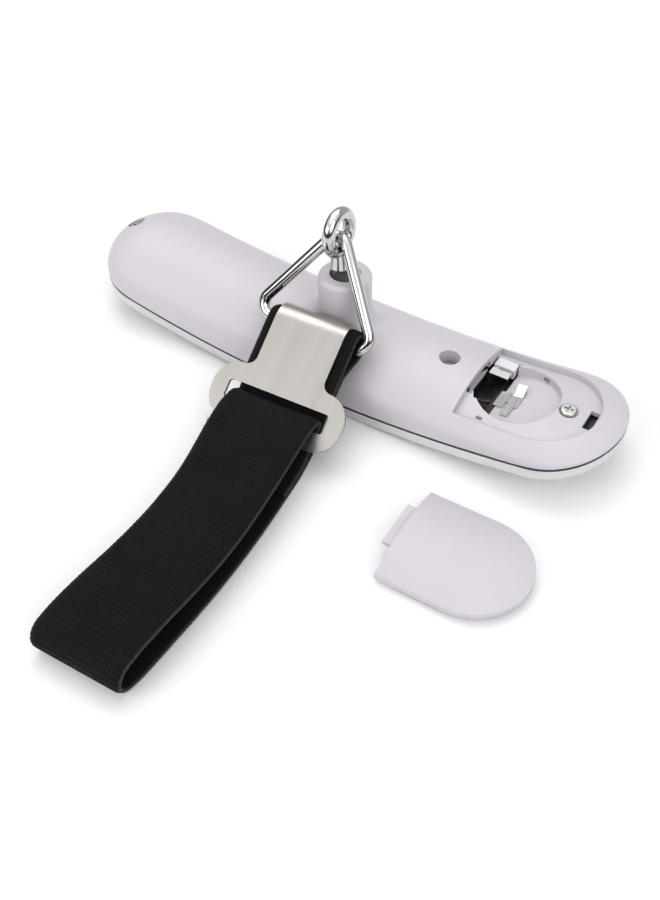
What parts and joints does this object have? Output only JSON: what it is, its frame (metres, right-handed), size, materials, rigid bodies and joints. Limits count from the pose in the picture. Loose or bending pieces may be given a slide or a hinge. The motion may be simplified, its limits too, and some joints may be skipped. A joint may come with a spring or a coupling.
{
  "type": "digital luggage scale",
  "caption": "Handheld hanging scale: domed handle with neck, swivelling eye, triangular ring, webbing strap through a steel buckle, loose battery cover.",
  "frame": {"origin": "middle of the display window's outer face, which the scale lies on", "axes": "+X along the handle towards the battery end, +Y away from the strap, +Z along the neck and eye"},
  "size_m": [0.15, 0.1277, 0.0457],
  "materials": {
    "shell_white": "satin moulded ABS",
    "cover_white": "satin moulded ABS",
    "frame_black": "black moulded ABS",
    "plate_silver": "brushed and satin",
    "window_clear": "polished smoked acrylic",
    "lcd_glass": "polarised LCD glass",
    "backlight_white": "diffuser",
    "strip_rubber": "layered silicone connector",
    "board_green": "solder mask",
    "screw_steel": "zinc-plated steel",
    "contact_nickel": "nickel-plated spring steel",
    "bracket_white": "moulded ABS",
    "lead_black": "insulated lead",
    "beam_aluminium": "machined",
    "gauge_amber": "foil on film",
    "chrome_steel": "bright plating",
    "webbing_black": "ribbed polypropylene webbing",
    "buckle_steel": "satin stainless sheet",
    "button_grey": "moulded silicone"
  },
  "bodies": {
    "housing": {"rear_shell": "shell_white", "front_frame": "frame_black", "face_plate": "plate_silver", "display_window": "window_clear", "lcd_panel": "lcd_glass", "lcd_backlight": "backlight_white", "zebra_strips": "strip_rubber", "circuit_board": "board_green", "chip_blob": "frame_black", "tact_switches": "frame_black", "board_screws": "screw_steel", "case_screws": "screw_steel", "battery_contact_negative": "contact_nickel", "battery_contact_positive": "contact_nickel", "contact_bracket": "bracket_white", "battery_leads": "lead_black", "load_cell": "beam_aluminium", "load_cell_screws": "screw_steel", "strain_gauges": "gauge_amber", "load_cell_wires": "lead_black"},
    "eye": {"eye_bolt": "chrome_steel", "eye_washer": "screw_steel", "eye_nut": "screw_steel"},
    "ring": {"triangle_ring": "chrome_steel"},
    "strap": {"strap_webbing": "webbing_black", "buckle_plate": "buckle_steel"},
    "cover": {"battery_cover": "cover_white"},
    "power_button": {"power_button": "button_grey"},
    "unit_button": {"unit_button": "button_grey"}
  },
  "joints": [
    {"name": "eye_swivel", "type": "hinge", "parent": "housing", "child": "eye", "pos_m": [0, 0, 0.0108], "axis": [-0.0593, 0, 0.9982], "range_deg": [-3, 12]},
    {"name": "ring_swing", "type": "hinge", "parent": "eye", "child": "ring", "pos_m": [-0.00163, 0, 0.0383], "axis": [-1, 0, 0], "range_deg": [0, 150]},
    {"name": "strap_swing", "type": "hinge", "parent": "ring", "child": "strap", "pos_m": [-0.00163, -0.01272, 0.01795], "axis": [-1, 0, 0], "range_deg": [0, 12]},
    {"name": "cover_lift", "type": "slide", "parent": "housing", "child": "cover", "axis": [-0.0683, 0.7728, 0.6309], "range_m": [0, 0.05706]},
    {"name": "power_press", "type": "slide", "parent": "housing", "child": "power_button", "axis": [0, 0, 1], "range_m": [0, 0.0005], "stiffness_N_per_m": 600, "springref_m": -0.0005},
    {"name": "unit_press", "type": "slide", "parent": "housing", "child": "unit_button", "axis": [0, 0, 1], "range_m": [0, 0.0005], "stiffness_N_per_m": 600, "springref_m": -0.0005}
  ]
}
